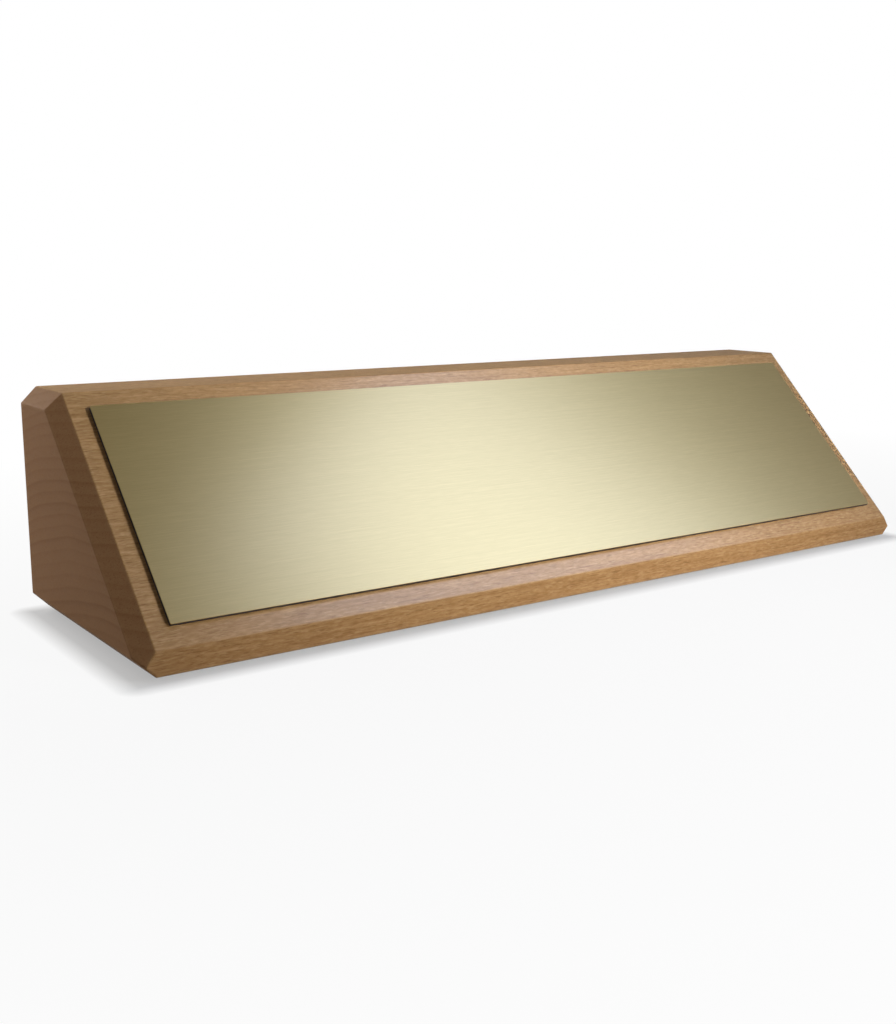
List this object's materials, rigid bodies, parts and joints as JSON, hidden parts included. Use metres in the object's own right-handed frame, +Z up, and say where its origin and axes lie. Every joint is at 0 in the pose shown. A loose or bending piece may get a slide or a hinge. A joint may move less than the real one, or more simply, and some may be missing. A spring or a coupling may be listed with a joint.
{
  "type": "desk name plate",
  "caption": "Desk name plate: a bevelled hardwood wedge with a blank brushed-gold engraving plate taped to its sloped face and felt pads under its base.",
  "frame": {"origin": "at desk level, under the middle of the block", "axes": "+X along the length, the sloped face looks toward -Y, +Z up"},
  "size_m": [0.2178, 0.0588, 0.0482],
  "materials": {
    "alder_wood": "satin lacquer over straight grain",
    "black_core": "saw-cut edge",
    "gold_cap": "brushed metallised film",
    "tape": "plain",
    "felt": "pressed felt"
  },
  "bodies": {
    "root": {"wedge_block": "alder_wood", "plate_core": "black_core", "plate_face": "gold_cap", "tape_strip_upper": "tape", "tape_strip_lower": "tape", "felt_pad_front_left": "felt", "felt_pad_front_right": "felt", "felt_pad_back_left": "felt", "felt_pad_back_right": "felt"}
  },
  "joints": []
}
